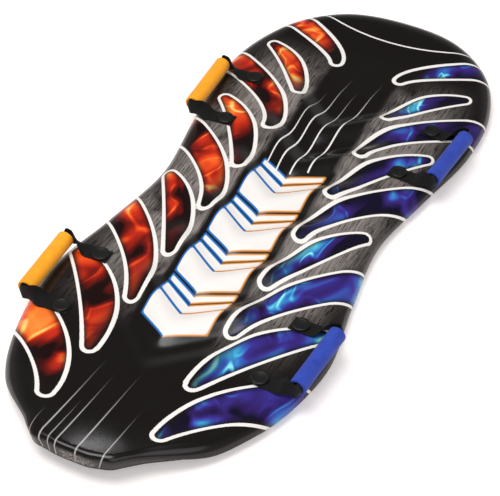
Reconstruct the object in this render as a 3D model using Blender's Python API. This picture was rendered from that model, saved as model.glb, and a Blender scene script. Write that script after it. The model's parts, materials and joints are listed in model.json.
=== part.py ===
"""Two-rider foam snow sled with four webbing handles.

The board is a foam core under a printed foam skin, with a slick plastic base sheet.  The skin
is pressed in chevron waves across the middle of the deck, rolls down over the rails and lifts
to a kicked nose.  Each handle is a strap through a foam grip, held by two plastic plugs whose
stems pass down through the board into anchors set in the base.

Metres.  The nose points to -Y, the riders' left is +X, and +Z is up.  The origin is on the
ground under the middle of the board.
"""
import math

import bmesh
import bpy
from mathutils import Vector

# Board
SLED_LENGTH = 1.211
SLED_WIDTH = 0.485
DECK_HEIGHT = 0.038
SKIN_THICKNESS = 0.004
BASE_THICKNESS = 0.002
JOINT_GAP = 0.0003

# Rails: how far in and how far down the deck rolls over, and how far the wall leans in
RAIL_ROLL_WIDTH = 0.036
RAIL_ROLL_DEPTH = 0.024
NOSE_ROLL_WIDTH = 0.008
NOSE_ROLL_DEPTH = 0.0075
NOSE_ROLL_LENGTH = 0.130
WALL_TUCK = 0.009

# Rise of the deck and of the base towards the nose and the tail
NOSE_KICK = 0.017
NOSE_KICK_LENGTH = 0.175
NOSE_KICK_POWER = 2.4
NOSE_BASE_RISE = 0.031
NOSE_BASE_LENGTH = 0.205
TAIL_KICK = 0.006
TAIL_KICK_LENGTH = 0.150
TAIL_BASE_RISE = 0.012
TAIL_BASE_LENGTH = 0.140
BASE_RISE_POWER = 1.15

# Chevron waves
WAVE_PITCH = 0.107
WAVE_COUNT = 6
WAVE_HEIGHT = 0.0065
WAVE_AFT = 0.2865
WAVE_REACH = 0.150
WAVE_POINT_RADIUS = 0.012
WAVE_RAIL_INSET = 0.1575
WAVE_FADE = 0.040

# Handles: insets of the plug lines from the widest place of the rails, and distances of the
# handles' middles from the nose and from the tail
FRONT_HANDLE_INSET = 0.0695
FRONT_HANDLE_SETBACK = 0.3275
FRONT_HANDLE_TOE = math.radians(2.5)
REAR_HANDLE_INSET = 0.076
REAR_HANDLE_SETBACK = 0.3555
REAR_HANDLE_TOE = math.radians(3.5)
PLUG_SPACING = 0.128
WEBBING_WIDTH = 0.028
WEBBING_THICKNESS = 0.0018
STRAP_END_TAIL = 0.016
HINGE_OFFSET = 0.023
GRIP_LENGTH = 0.128
GRIP_DIAMETER = 0.028
GRIP_BORE = 0.021
GRIP_EDGE = 0.0025
GRIP_OFFSET = 0.062
GRIP_HEIGHT = 0.0145
STRAP_TURN_RADIUS = 0.0075
STRAP_CURL_RADIUS = 0.0085

# Plugs and anchors
PLUG_HEAD_DIAMETER = 0.029
PLUG_HEAD_HEIGHT = 0.0042
PLUG_RIM_HEIGHT = 0.0024
PLUG_DISH_DEPTH = 0.0006
STEM_DIAMETER = 0.010
STEM_CLEARANCE = 0.0003
STEM_END_HEIGHT = 0.006
ANCHOR_FLANGE_DIAMETER = 0.032
ANCHOR_FLANGE_HEIGHT = 0.0017
ANCHOR_TUBE_DIAMETER = 0.0145
ANCHOR_TUBE_HEIGHT = 0.024
CUTTER_OVERRUN = 0.010
PLUG_DISH_SHARE = 0.8

# Mesh fineness
ROWS_PER_WAVE = 5
NOSE_ROWS = 9
TAIL_ROWS = 6
ROLL_STEPS = 4
INNER_ROLL_STEPS = 2
TURNED_SIDES = 16
STRAP_TURN_STEPS = 4
STRAP_FACETS = 4
KNOT_STEP = 0.001
HALVINGS = 48
GRID_SIZE = SLED_WIDTH
WELD_DISTANCE = JOINT_GAP / 10

# Half of the plan outline, from nose to tail, in shares of the half width and the half length
outline_shares = [
    (0.0, -1.0),
    (0.132, -0.998),
    (0.239, -0.986),
    (0.334, -0.957),
    (0.425, -0.921),
    (0.520, -0.891),
    (0.623, -0.858),
    (0.713, -0.822),
    (0.784, -0.780),
    (0.850, -0.723),
    (0.940, -0.602),
    (1.0, -0.440),
    (0.903, -0.197),
    (0.823, 0.045),
    (0.908, 0.270),
    (1.0, 0.507),
    (0.965, 0.699),
    (0.816, 0.846),
    (0.450, 0.969),
    (0.0, 1.0),
]
NOSE_CORNER_KNOT = 4.6
TAIL_CORNER_KNOT = 17.85

# Places of the grid's columns across half of the deck, from the middle out
column_shares = [0.0, 0.10, 0.30, 0.52, 0.76, 1.0]

# How far the webbing has tipped on edge on its way from the hinge line to the grip
strap_lean_shares = [0.0, 0.14, 0.50, 0.82, 0.96, 1.0]

HALF_LENGTH = SLED_LENGTH / 2
HALF_WIDTH = SLED_WIDTH / 2
LAST_KNOT = len(outline_shares) - 1

MATERIALS = {
    "foam_white": ((0.80, 0.80, 0.78), 0.85, 0.0),
    "deck_print": ((0.030, 0.028, 0.028), 0.38, 0.0),
    "slick_plastic": ((0.020, 0.020, 0.022), 0.25, 0.0),
    "orange_foam": ((0.90, 0.38, 0.02), 0.80, 0.0),
    "blue_foam": ((0.02, 0.055, 0.42), 0.80, 0.0),
    "black_webbing": ((0.012, 0.012, 0.012), 0.75, 0.0),
    "black_plastic": ((0.018, 0.018, 0.017), 0.40, 0.0),
}


def clear_scene():
    for obj in list(bpy.data.objects):
        bpy.data.objects.remove(obj, do_unlink=True)


def material(name):
    found = bpy.data.materials.get(name)
    if found:
        return found
    colour, roughness, metallic = MATERIALS[name]
    made = bpy.data.materials.new(name)
    made.use_nodes = True
    shader = made.node_tree.nodes["Principled BSDF"]
    shader.inputs["Base Color"].default_value = (*colour, 1.0)
    shader.inputs["Roughness"].default_value = roughness
    shader.inputs["Metallic"].default_value = metallic
    return made


def smoothstep(low, high, value):
    share = min(max((value - low) / (high - low), 0.0), 1.0)
    return share * share * (3 - 2 * share)


def object_from(bm, name, finish, smooth_angle=math.radians(40)):
    """Close a bmesh into a named object with outward faces."""
    bmesh.ops.recalc_face_normals(bm, faces=bm.faces)
    mesh = bpy.data.meshes.new(name)
    bm.to_mesh(mesh)
    bm.free()
    mesh.shade_smooth()
    mesh.set_sharp_from_angle(angle=smooth_angle)
    mesh.materials.append(material(finish))
    obj = bpy.data.objects.new(name, mesh)
    bpy.context.collection.objects.link(obj)
    return obj


def cut(obj, cutter):
    """Bore an object with a cutter that stays as a hidden guide."""
    cutter.hide_render = True
    cutter.display_type = "WIRE"
    modifier = obj.modifiers.new("bores", "BOOLEAN")
    modifier.operation = "DIFFERENCE"
    modifier.solver = "EXACT"
    modifier.object = cutter


# Shape of the board

def outline_point(t):
    """Point of the left half of the plan outline, t counted in knots from the nose."""
    low = min(int(t), LAST_KNOT - 1)
    share = t - low

    def knot(i):
        if i < 0:
            x, y = outline_shares[-i]
            return Vector((-x * HALF_WIDTH, y * HALF_LENGTH))
        if i > LAST_KNOT:
            x, y = outline_shares[2 * LAST_KNOT - i]
            return Vector((-x * HALF_WIDTH, y * HALF_LENGTH))
        x, y = outline_shares[i]
        return Vector((x * HALF_WIDTH, y * HALF_LENGTH))

    before, start, end, after = (knot(low + i) for i in (-1, 0, 1, 2))
    span = (end - start).length

    def slope(left, middle, right):
        reach = (middle - left).length
        ahead = (right - middle).length
        leaving = (middle - left) / reach * ahead + (right - middle) / ahead * reach
        return leaving / (reach + ahead) * span

    leave = slope(before, start, end)
    arrive = slope(start, end, after)
    square, cube = share * share, share ** 3
    return (start * (2 * cube - 3 * square + 1) + leave * (cube - 2 * square + share)
            + end * (3 * square - 2 * cube) + arrive * (cube - square))


def outward(t):
    """Unit normal of the outline, pointing away from the board."""
    ahead = outline_point(min(t + KNOT_STEP, LAST_KNOT))
    behind = outline_point(max(t - KNOT_STEP, 0.0))
    tangent = (ahead - behind).normalized()
    return Vector((tangent.y, -tangent.x))


def nose_share(y):
    """How far a place lies into the nose, where the rails roll more tightly."""
    return smoothstep(-HALF_LENGTH + NOSE_ROLL_LENGTH, -HALF_LENGTH + NOSE_ROLL_WIDTH, y)


def roll_size(t):
    share = nose_share(outline_point(t).y)
    width = RAIL_ROLL_WIDTH + (NOSE_ROLL_WIDTH - RAIL_ROLL_WIDTH) * share
    depth = RAIL_ROLL_DEPTH + (NOSE_ROLL_DEPTH - RAIL_ROLL_DEPTH) * share
    return width, depth


def inner_point(t):
    """Where the deck starts to roll down, square in from the outline."""
    return outline_point(t) - outward(t) * roll_size(t)[0]


def arm(x):
    """How far a chevron's arm has run aft at a place across the deck."""
    reach = math.hypot(x, WAVE_POINT_RADIUS) - WAVE_POINT_RADIUS
    return WAVE_REACH * math.tanh(reach / WAVE_REACH)


def wave(x, y):
    """Height of the chevron waves: troughs lie a pitch apart along the middle."""
    along = y - arm(x)
    last_trough = WAVE_AFT - WAVE_PITCH * WAVE_COUNT
    half_pitch = WAVE_PITCH / 2
    full_reach = HALF_WIDTH - WAVE_RAIL_INSET
    across = 1 - smoothstep(full_reach, full_reach + WAVE_FADE, abs(x))
    beyond = max(along - WAVE_AFT, last_trough - along)
    if beyond >= half_pitch:
        return 0.0
    if beyond > 0:
        return -WAVE_HEIGHT * across * (1 + math.cos(math.pi * beyond / half_pitch)) / 2
    return -WAVE_HEIGHT * across * math.cos(2 * math.pi * (along - WAVE_AFT) / WAVE_PITCH)


def deck_height(x, y):
    nose_end = -HALF_LENGTH + NOSE_ROLL_WIDTH
    nose_start = -HALF_LENGTH + NOSE_KICK_LENGTH
    into_nose = max(nose_start - y, 0.0) / (nose_start - nose_end)
    tail = smoothstep(HALF_LENGTH - TAIL_KICK_LENGTH, HALF_LENGTH - RAIL_ROLL_WIDTH, y)
    ends = NOSE_KICK * into_nose ** NOSE_KICK_POWER + TAIL_KICK * tail
    return DECK_HEIGHT + ends + wave(x, y)


def base_height(y):
    """Height of the underside, flat but for the rise at each end."""
    into_nose = max(-y - (HALF_LENGTH - NOSE_BASE_LENGTH), 0.0) / NOSE_BASE_LENGTH
    into_tail = max(y - (HALF_LENGTH - TAIL_BASE_LENGTH), 0.0) / TAIL_BASE_LENGTH
    nose = NOSE_BASE_RISE * into_nose ** BASE_RISE_POWER
    return nose + TAIL_BASE_RISE * into_tail ** BASE_RISE_POWER


def find(function, low, high, target):
    """Value between low and high where a steady function meets the target."""
    rising = function(high) > function(low)
    for _ in range(HALVINGS):
        middle = (low + high) / 2
        if (function(middle) < target) == rising:
            low = middle
        else:
            high = middle
    return (low + high) / 2


def row_places():
    """Outline place and chevron share of each row, from the nose end to the tail end."""
    def start_of_row(t):
        point = inner_point(t)
        return point.y - arm(point.x)

    wave_rows = (WAVE_COUNT + 1) * ROWS_PER_WAVE
    foremost = WAVE_AFT - WAVE_PITCH * (WAVE_COUNT + 0.5)
    rows = []
    for i in range(wave_rows + 1):
        middle = foremost + WAVE_PITCH * i / ROWS_PER_WAVE
        rows.append(find(start_of_row, NOSE_CORNER_KNOT, TAIL_CORNER_KNOT, middle))
    first, last = rows[0], rows[-1]
    placed = []
    for i in range(NOSE_ROWS):
        share = i / NOSE_ROWS
        placed.append((NOSE_CORNER_KNOT + (first - NOSE_CORNER_KNOT) * share, share))
    placed += [(t, 1.0) for t in rows]
    for i in range(1, TAIL_ROWS + 1):
        share = i / TAIL_ROWS
        placed.append((last + (TAIL_CORNER_KNOT - last) * share, 1.0 - share))
    return placed


ROWS = row_places()
ROW_COUNT = len(ROWS) - 1
COLUMN_COUNT = 2 * (len(column_shares) - 1)


def end_places(low, high, corner):
    """Outline places at one end of the board, one for each column."""
    reach = inner_point(corner).x
    return [find(lambda t: inner_point(t).x, low, high, share * reach) for share in column_shares]


NOSE_PLACES = end_places(0.0, NOSE_CORNER_KNOT, NOSE_CORNER_KNOT)
TAIL_PLACES = end_places(TAIL_CORNER_KNOT, LAST_KNOT, TAIL_CORNER_KNOT)


def grid_place(row, column):
    """Plan point of a deck vertex, with its outline place where it is on the border."""
    middle = COLUMN_COUNT // 2
    side = -1 if column < middle else 1
    share = column_shares[abs(column - middle)]
    t, chevron = ROWS[row]
    border = inner_point(t)
    x = share * border.x
    nose = row < ROW_COUNT // 2
    corner = NOSE_CORNER_KNOT if nose else TAIL_CORNER_KNOT
    end_t = (NOSE_PLACES if nose else TAIL_PLACES)[abs(column - middle)]
    end = inner_point(end_t).y - inner_point(corner).y
    y = border.y + chevron * (arm(x) - arm(border.x)) + (1 - chevron) * end
    if share == 1.0:
        return side, x, border.y, t
    if row in (0, ROW_COUNT):
        return side, x, y, end_t
    return side, x, y, None


def section(t, side, inset, roll_steps):
    """Points down the rail at an outline place, a distance inside the outer face."""
    width, depth = roll_size(t)
    start = inner_point(t)
    top = deck_height(start.x, start.y)
    edge = outline_point(t)
    normal = outward(t)
    points = []
    for i in range(1, roll_steps + 1):
        turn = math.pi / 2 * i / roll_steps
        offset = -width + (width - inset) * math.sin(turn)
        height = top - depth + (depth - inset) * math.cos(turn)
        place = edge + normal * offset
        points.append(Vector((side * place.x, place.y, height)))
    foot = edge - normal * (WALL_TUCK + inset)
    rim = base_height(foot.y) + BASE_THICKNESS + JOINT_GAP
    points.append(Vector((side * foot.x, foot.y, rim)))
    return points


def border_edges(bm):
    return [edge for edge in bm.edges if edge.is_boundary]


def deck_sheet(bm, inset, roll_steps):
    """Deck grid and rolled rails as one open sheet; returns its lower border."""
    place_layer = bm.verts.layers.float.get("place") or bm.verts.layers.float.new("place")
    side_layer = bm.verts.layers.float.get("side") or bm.verts.layers.float.new("side")
    half = GRID_SIZE / 2
    made = bmesh.ops.create_grid(bm, x_segments=COLUMN_COUNT, y_segments=ROW_COUNT, size=half)
    border = set()
    for vert in made["verts"]:
        column = round((vert.co.x + half) / GRID_SIZE * COLUMN_COUNT)
        row = round((vert.co.y + half) / GRID_SIZE * ROW_COUNT)
        side, x, y, t = grid_place(row, column)
        vert.co = Vector((side * x, y, deck_height(x, y) - inset))
        vert[side_layer] = side
        if t is not None:
            vert[place_layer] = t
            border.add(vert)
    edges = [edge for edge in border_edges(bm) if edge.verts[0] in border]
    for ring in range(roll_steps + 1):
        grown = bmesh.ops.extrude_edge_only(bm, edges=edges)["geom"]
        edges = [item for item in grown if isinstance(item, bmesh.types.BMEdge)]
        for vert in (item for item in grown if isinstance(item, bmesh.types.BMVert)):
            t, side = vert[place_layer], vert[side_layer]
            vert.co = section(t, side, inset, roll_steps)[ring]
    return edges


def fill_across(bm, edges):
    """Close a border that is alike on both sides with strips from side to side."""
    face = bmesh.ops.contextual_create(bm, geom=edges)["faces"][0]
    verts = list(face.verts)
    right = sorted((v for v in verts if v.co.x > JOINT_GAP), key=lambda v: v.co.y)
    left = sorted((v for v in verts if v.co.x < -JOINT_GAP), key=lambda v: v.co.y)
    for a, b in zip(right, left):
        shared = [f for f in a.link_faces if f in b.link_faces]
        if shared and not bm.edges.get((a, b)):
            bmesh.utils.face_split(shared[0], a, b)


# Handles

def handles():
    """Name, side, plug line, place and toe of each handle."""
    front_place = FRONT_HANDLE_SETBACK - HALF_LENGTH
    rear_place = HALF_LENGTH - REAR_HANDLE_SETBACK
    ends = (("front", HALF_WIDTH - FRONT_HANDLE_INSET, front_place, FRONT_HANDLE_TOE),
            ("rear", HALF_WIDTH - REAR_HANDLE_INSET, rear_place, REAR_HANDLE_TOE))
    for end_name, line, place, toe in ends:
        for side_name, side in (("left", 1), ("right", -1)):
            yield end_name + "_" + side_name, side, line, place, toe


def handle_empty(name, side, line, place, toe):
    """Empty on the deck midway between a handle's plugs, turned to the handle's toe."""
    empty = bpy.data.objects.new(name + "_handle_place", None)
    empty.location = (side * line, place, DECK_HEIGHT)
    empty.rotation_euler = (0, 0, -side * toe)
    bpy.context.collection.objects.link(empty)
    return empty


def hang(obj, empty, location):
    obj.parent = empty
    obj.location = location


def turned(name, profile, finish):
    """Solid of revolution about Z from a profile of (radius, height) points."""
    bm = bmesh.new()
    verts = [bm.verts.new((radius, 0.0, height)) for radius, height in profile]
    edges = [bm.edges.new(pair) for pair in zip(verts, verts[1:])]
    if profile[0][0] > 0:
        edges.append(bm.edges.new((verts[-1], verts[0])))
    bmesh.ops.spin(bm, geom=verts + edges, axis=(0, 0, 1), cent=(0, 0, 0),
                   angle=2 * math.pi, steps=TURNED_SIDES, use_merge=True)
    bmesh.ops.remove_doubles(bm, verts=bm.verts, dist=WELD_DISTANCE)
    return object_from(bm, name, finish)


def make_plug(name, underside):
    """Plug with a low domed head and a stem; its origin is under the head."""
    head = PLUG_HEAD_DIAMETER / 2
    stem = STEM_DIAMETER / 2
    stem_end = STEM_END_HEIGHT - underside
    shoulder = head - (PLUG_HEAD_HEIGHT - PLUG_RIM_HEIGHT)
    profile = [
        (0.0, PLUG_HEAD_HEIGHT - PLUG_DISH_DEPTH),
        (shoulder * PLUG_DISH_SHARE, PLUG_HEAD_HEIGHT - PLUG_DISH_DEPTH),
        (shoulder, PLUG_HEAD_HEIGHT),
        (head, PLUG_RIM_HEIGHT),
        (head, 0.0),
        (stem, 0.0),
        (stem, stem_end),
        (0.0, stem_end),
    ]
    return turned(name, profile, "black_plastic")


def make_anchor(name):
    """Lower half of a plug: a flange under the core and a socket for the stem."""
    flange = ANCHOR_FLANGE_DIAMETER / 2
    tube = ANCHOR_TUBE_DIAMETER / 2
    bore = STEM_DIAMETER / 2 + STEM_CLEARANCE
    floor = STEM_END_HEIGHT - JOINT_GAP
    profile = [
        (0.0, JOINT_GAP),
        (flange, JOINT_GAP),
        (flange, JOINT_GAP + ANCHOR_FLANGE_HEIGHT),
        (tube, JOINT_GAP + ANCHOR_FLANGE_HEIGHT),
        (tube, ANCHOR_TUBE_HEIGHT),
        (bore, ANCHOR_TUBE_HEIGHT),
        (bore, floor),
        (0.0, floor),
    ]
    return turned(name, profile, "black_plastic")


def make_grip(name, finish):
    """Foam tube along Y with rounded ends, its origin on its axis."""
    outer = GRIP_DIAMETER / 2
    bore = GRIP_BORE / 2
    end = GRIP_LENGTH / 2
    soft = GRIP_EDGE * math.sin(math.pi / 4)
    profile = [
        (bore, -end),
        (outer - GRIP_EDGE, -end),
        (outer - GRIP_EDGE + soft, -end + GRIP_EDGE - soft),
        (outer, -end + GRIP_EDGE),
        (outer, end - GRIP_EDGE),
        (outer - GRIP_EDGE + soft, end - GRIP_EDGE + soft),
        (outer - GRIP_EDGE, end),
        (bore, end),
    ]
    grip = turned(name, profile, finish)
    for vert in grip.data.vertices:
        x, y, z = vert.co
        vert.co = (x, z, -y)
    grip.data.update()
    return grip


def strap_path():
    """Stations of a strap's fore half: place, heading, lean and curl, from hinge to grip."""
    rise = GRIP_HEIGHT - (JOINT_GAP + WEBBING_THICKNESS / 2)
    start = Vector((0.0, -PLUG_SPACING / 2, 0.0))
    inside = GRIP_OFFSET - HINGE_OFFSET + STRAP_CURL_RADIUS
    centre = Vector((inside - STRAP_TURN_RADIUS, -GRIP_LENGTH / 2, rise))
    turn_start = centre + Vector((0, -STRAP_TURN_RADIUS, 0))
    stations = []
    steps = len(strap_lean_shares) - 1
    for i, lean in enumerate(strap_lean_shares):
        share = i / steps
        place = start.lerp(turn_start, share)
        place.z = rise * math.sin(lean * math.pi / 2)
        stations.append((place, 0.0, lean * math.pi / 2, 0.0))
    for i in range(1, STRAP_TURN_STEPS + 1):
        share = i / STRAP_TURN_STEPS
        heading = share * math.pi / 2
        place = centre + STRAP_TURN_RADIUS * Vector((math.sin(heading), -math.cos(heading), 0))
        stations.append((place, heading, math.pi / 2, share))
    return stations


def strap_ring(place, heading, lean, curl, side):
    """Closed ring of points round the webbing at a station."""
    across = Vector((math.sin(heading), -math.cos(heading), 0)) * math.cos(lean)
    across -= Vector((0, 0, math.sin(lean)))
    along = Vector((math.cos(heading), math.sin(heading), 0))
    face = across.cross(along)
    half = WEBBING_WIDTH / 2
    upper, lower = [], []
    for i in range(STRAP_FACETS + 1):
        reach = half * (2 * i / STRAP_FACETS - 1)
        if curl > 0:
            radius = STRAP_CURL_RADIUS / curl
            angle = reach / radius
            middle = place + across * radius * math.sin(angle)
            middle -= face * radius * (1 - math.cos(angle))
            normal = face * math.cos(angle) + across * math.sin(angle)
        else:
            middle = place + across * reach
            normal = face
        upper.append(middle + normal * WEBBING_THICKNESS / 2)
        lower.append(middle - normal * WEBBING_THICKNESS / 2)
    ring = upper + lower[::-1]
    return [Vector((side * p.x, p.y, p.z)) for p in ring]


def make_strap(name, side):
    """The loop of webbing that swings, with its origin on its hinge line."""
    rings = [strap_ring(*station, side) for station in strap_path()]
    rings += [[Vector((p.x, -p.y, p.z)) for p in points] for points in rings[::-1]]
    bm = bmesh.new()
    loops = []
    for points in rings:
        verts = [bm.verts.new(p) for p in points]
        loops.append([bm.edges.new((verts[i - 1], verts[i])) for i in range(len(verts))])
    for near, far in zip(loops, loops[1:]):
        bmesh.ops.bridge_loops(bm, edges=near + far)
    bmesh.ops.contextual_create(bm, geom=loops[0])
    bmesh.ops.contextual_create(bm, geom=loops[-1])
    return object_from(bm, name, "black_webbing")


def make_strap_end(name):
    """The end of the strap under a plug head, bored for the stem."""
    bm = bmesh.new()
    bmesh.ops.create_cube(bm, size=1.0)
    outer = HINGE_OFFSET - WEBBING_THICKNESS / 2 - JOINT_GAP
    length = outer + STRAP_END_TAIL
    middle = (outer - STRAP_END_TAIL) / 2
    for vert in bm.verts:
        vert.co.x = middle + vert.co.x * length
        vert.co.y *= WEBBING_WIDTH
        vert.co.z = (vert.co.z + 0.5) * WEBBING_THICKNESS
    return object_from(bm, name, "black_webbing")


def bore_cutter(name, profile):
    """One bore shape at each of the eight plug places, as a hidden guide."""
    bm = bmesh.new()
    for _, side, line, place, toe in handles():
        for end in (-1, 1):
            reach = end * PLUG_SPACING / 2
            x = side * (line + reach * math.sin(toe))
            y = place + reach * math.cos(toe)
            ring = [bm.verts.new((r, 0.0, z)) for r, z in profile]
            edges = [bm.edges.new(pair) for pair in zip(ring, ring[1:])]
            made = bmesh.ops.spin(bm, geom=ring + edges, axis=(0, 0, 1), cent=(0, 0, 0),
                                  angle=2 * math.pi, steps=TURNED_SIDES, use_merge=True)
            near = [v for v in bm.verts if v.co.xy.length < PLUG_SPACING / 2]
            bmesh.ops.remove_doubles(bm, verts=near, dist=WELD_DISTANCE)
            near = [v for v in bm.verts if v.co.xy.length < PLUG_SPACING / 2]
            bmesh.ops.translate(bm, verts=near, vec=(x, y, 0.0))
    return object_from(bm, name, "black_plastic")


# Board pieces

def make_deck_skin():
    bm = bmesh.new()
    outer = deck_sheet(bm, 0.0, ROLL_STEPS)
    inner = deck_sheet(bm, SKIN_THICKNESS, INNER_ROLL_STEPS)
    bmesh.ops.bridge_loops(bm, edges=outer + inner)
    return object_from(bm, "deck_skin", "deck_print")


def make_foam_core():
    bm = bmesh.new()
    rim = deck_sheet(bm, SKIN_THICKNESS + JOINT_GAP, INNER_ROLL_STEPS)
    fill_across(bm, rim)
    return object_from(bm, "foam_core", "foam_white")


def make_slick_base():
    bm = bmesh.new()
    places = [(t, 1) for t, _ in ROWS]
    nose = [(t, 1) for t in NOSE_PLACES[:-1]]
    tail = [(t, 1) for t in TAIL_PLACES[-2::-1]]
    half = nose + places + tail
    loop = half + [(t, -1) for t, _ in half[-2:0:-1]]
    made = bmesh.ops.create_circle(bm, cap_ends=False, segments=len(loop), radius=HALF_WIDTH)
    for vert, (t, side) in zip(made["verts"], loop):
        foot = outline_point(t) - outward(t) * WALL_TUCK
        vert.co = (side * foot.x, foot.y, base_height(foot.y))
    fill_across(bm, list(bm.edges))
    grown = bmesh.ops.extrude_face_region(bm, geom=list(bm.faces))["geom"]
    lifted = [item for item in grown if isinstance(item, bmesh.types.BMVert)]
    bmesh.ops.translate(bm, verts=lifted, vec=(0, 0, BASE_THICKNESS))
    return object_from(bm, "slick_base", "slick_plastic")


def make_board():
    skin = make_deck_skin()
    core = make_foam_core()
    base = make_slick_base()
    stem = STEM_DIAMETER / 2 + STEM_CLEARANCE
    tube = ANCHOR_TUBE_DIAMETER / 2 + STEM_CLEARANCE
    flange = ANCHOR_FLANGE_DIAMETER / 2 + STEM_CLEARANCE
    step = ANCHOR_TUBE_HEIGHT + JOINT_GAP
    top = DECK_HEIGHT + CUTTER_OVERRUN
    cut(skin, bore_cutter("skin_bores", [(0, top), (stem, top), (stem, step), (0, step)]))
    cut(core, bore_cutter("core_bores", [(0, top), (stem, top), (stem, step), (tube, step),
                                         (tube, -CUTTER_OVERRUN), (0, -CUTTER_OVERRUN)]))
    above = BASE_THICKNESS + CUTTER_OVERRUN
    cut(base, bore_cutter("base_bores", [(0, above), (flange, above),
                                         (flange, -CUTTER_OVERRUN), (0, -CUTTER_OVERRUN)]))


def make_handle(name, side, line, place, toe):
    empty = handle_empty(name, side, line, place, toe)
    strap_level = JOINT_GAP
    hinge_level = strap_level + WEBBING_THICKNESS / 2
    head_level = strap_level + WEBBING_THICKNESS + JOINT_GAP
    strap = make_strap(name + "_strap", side)
    hang(strap, empty, (side * HINGE_OFFSET, 0, hinge_level))
    grip = make_grip(name + "_grip", "blue_foam" if side > 0 else "orange_foam")
    hang(grip, empty, (side * GRIP_OFFSET, 0, GRIP_HEIGHT))
    eyelet = STEM_DIAMETER / 2 + STEM_CLEARANCE
    hole = [(0, CUTTER_OVERRUN), (eyelet, CUTTER_OVERRUN),
            (eyelet, -CUTTER_OVERRUN), (0, -CUTTER_OVERRUN)]
    for end_name, end in (("fore", -1), ("aft", 1)):
        reach = end * PLUG_SPACING / 2
        strap_end = make_strap_end(name + "_strap_end_" + end_name)
        if side < 0:
            strap_end.rotation_euler = (0, 0, math.pi)
        hang(strap_end, empty, (0, reach, strap_level))
        cutter = turned(name + "_eyelet_" + end_name, hole, "black_plastic")
        hang(cutter, empty, (0, reach, strap_level))
        cut(strap_end, cutter)
        plug = make_plug(name + "_plug_" + end_name, DECK_HEIGHT + head_level)
        hang(plug, empty, (0, reach, head_level))
        anchor = make_anchor(name + "_anchor_" + end_name)
        hang(anchor, empty, (0, reach, -DECK_HEIGHT))


clear_scene()
make_board()
for handle in handles():
    make_handle(*handle)
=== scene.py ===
"""Looks of the foam snow sled: printed deck, slick base, webbing handles and foam grips.

Metres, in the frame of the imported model: the nose points to -Y and the riders' left is +X.
"""
import json
import math

import bmesh
import bpy
import numpy as np
from mathutils import Matrix, Vector
from mathutils.kdtree import KDTree


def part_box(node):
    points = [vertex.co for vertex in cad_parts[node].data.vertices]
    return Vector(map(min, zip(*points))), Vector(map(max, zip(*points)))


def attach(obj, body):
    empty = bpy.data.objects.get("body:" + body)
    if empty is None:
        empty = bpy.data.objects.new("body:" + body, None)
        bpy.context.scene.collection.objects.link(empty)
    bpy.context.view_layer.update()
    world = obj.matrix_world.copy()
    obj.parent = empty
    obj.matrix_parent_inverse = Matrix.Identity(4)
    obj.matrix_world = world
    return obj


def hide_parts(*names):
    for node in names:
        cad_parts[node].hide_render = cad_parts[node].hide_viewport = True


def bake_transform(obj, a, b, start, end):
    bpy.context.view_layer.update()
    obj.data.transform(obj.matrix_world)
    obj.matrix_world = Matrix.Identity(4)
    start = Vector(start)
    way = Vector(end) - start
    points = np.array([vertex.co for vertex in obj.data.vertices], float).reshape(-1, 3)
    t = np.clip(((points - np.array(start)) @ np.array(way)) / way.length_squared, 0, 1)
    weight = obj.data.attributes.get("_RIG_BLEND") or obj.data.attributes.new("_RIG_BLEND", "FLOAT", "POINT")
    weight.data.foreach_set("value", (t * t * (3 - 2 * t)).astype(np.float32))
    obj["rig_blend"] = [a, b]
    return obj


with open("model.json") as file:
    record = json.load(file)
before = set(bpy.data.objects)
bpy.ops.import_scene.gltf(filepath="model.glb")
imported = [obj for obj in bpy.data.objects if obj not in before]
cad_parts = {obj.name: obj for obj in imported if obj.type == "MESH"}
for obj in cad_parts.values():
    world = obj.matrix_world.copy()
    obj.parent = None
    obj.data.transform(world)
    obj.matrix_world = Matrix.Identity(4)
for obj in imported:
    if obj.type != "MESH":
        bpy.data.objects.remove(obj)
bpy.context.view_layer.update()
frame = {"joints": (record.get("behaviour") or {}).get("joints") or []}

# The camera stands in front of the nose and to the riders' left, above the deck, with a
# long lens.  Its aim point lies on the deck.
PHOTO_WIDTH_PX = 500
FOCAL_LENGTH_PX = 1762
SENSOR_WIDTH = 36.0
CAMERA_AZIMUTH = math.radians(27)
CAMERA_HEIGHT_ANGLE = math.radians(42)
CAMERA_DISTANCE = 2.802
AIM_POINT = Vector((0.0263, -0.0908, 0.038))


def direction(azimuth, height_angle):
    """Unit vector up and towards an azimuth, which counts from the nose to the riders' left."""
    return Vector((
        math.sin(azimuth) * math.cos(height_angle),
        -math.cos(azimuth) * math.cos(height_angle),
        math.sin(height_angle),
    ))


towards_camera = direction(CAMERA_AZIMUTH, CAMERA_HEIGHT_ANGLE)
camera_data = bpy.data.cameras.new("photo_camera")
camera_data.sensor_width = SENSOR_WIDTH
camera_data.lens = FOCAL_LENGTH_PX * SENSOR_WIDTH / PHOTO_WIDTH_PX
camera = bpy.data.objects.new("photo_camera", camera_data)
camera.location = AIM_POINT + towards_camera * CAMERA_DISTANCE
camera.rotation_euler = towards_camera.to_track_quat("Z", "Y").to_euler()
bpy.context.scene.collection.objects.link(camera)
bpy.context.scene.camera = camera
bpy.context.scene.view_settings.view_transform = "Standard"


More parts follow.
